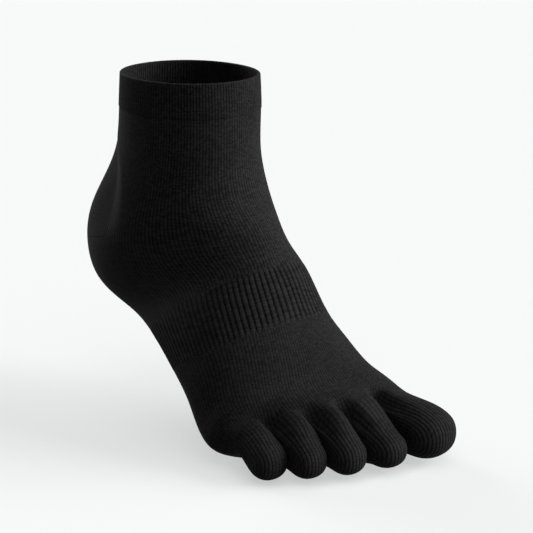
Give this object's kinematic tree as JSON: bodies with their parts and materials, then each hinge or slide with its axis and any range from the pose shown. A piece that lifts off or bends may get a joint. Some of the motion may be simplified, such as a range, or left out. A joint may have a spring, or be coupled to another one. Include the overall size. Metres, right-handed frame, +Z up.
{
  "type": "five-toed ankle sock",
  "caption": "Black knitted ankle sock for the right foot with a pocket for each toe, a doubled cuff, a shaped heel and a ribbed arch band, standing on its toes with the heel raised.",
  "frame": {"origin": "centre of the leg opening, in the plane of its rim", "axes": "+Z up and out of the leg opening, the toes point along -Y, the little toe is on the -X side; the ball of the foot rests on a floor at z = -0.1945 m"},
  "size_m": [0.1055, 0.2335, 0.1945],
  "materials": {
    "plain_knit": "matt, fine vertical wales",
    "rib_knit": "matt, ribbed"
  },
  "bodies": {
    "root": {"cuff": "rib_knit", "leg_and_foot": "plain_knit", "heel_pocket": "plain_knit", "arch_band": "rib_knit", "forefoot": "plain_knit", "big_toe": "plain_knit", "second_toe": "plain_knit", "third_toe": "plain_knit", "fourth_toe": "plain_knit", "little_toe": "plain_knit"}
  },
  "joints": []
}
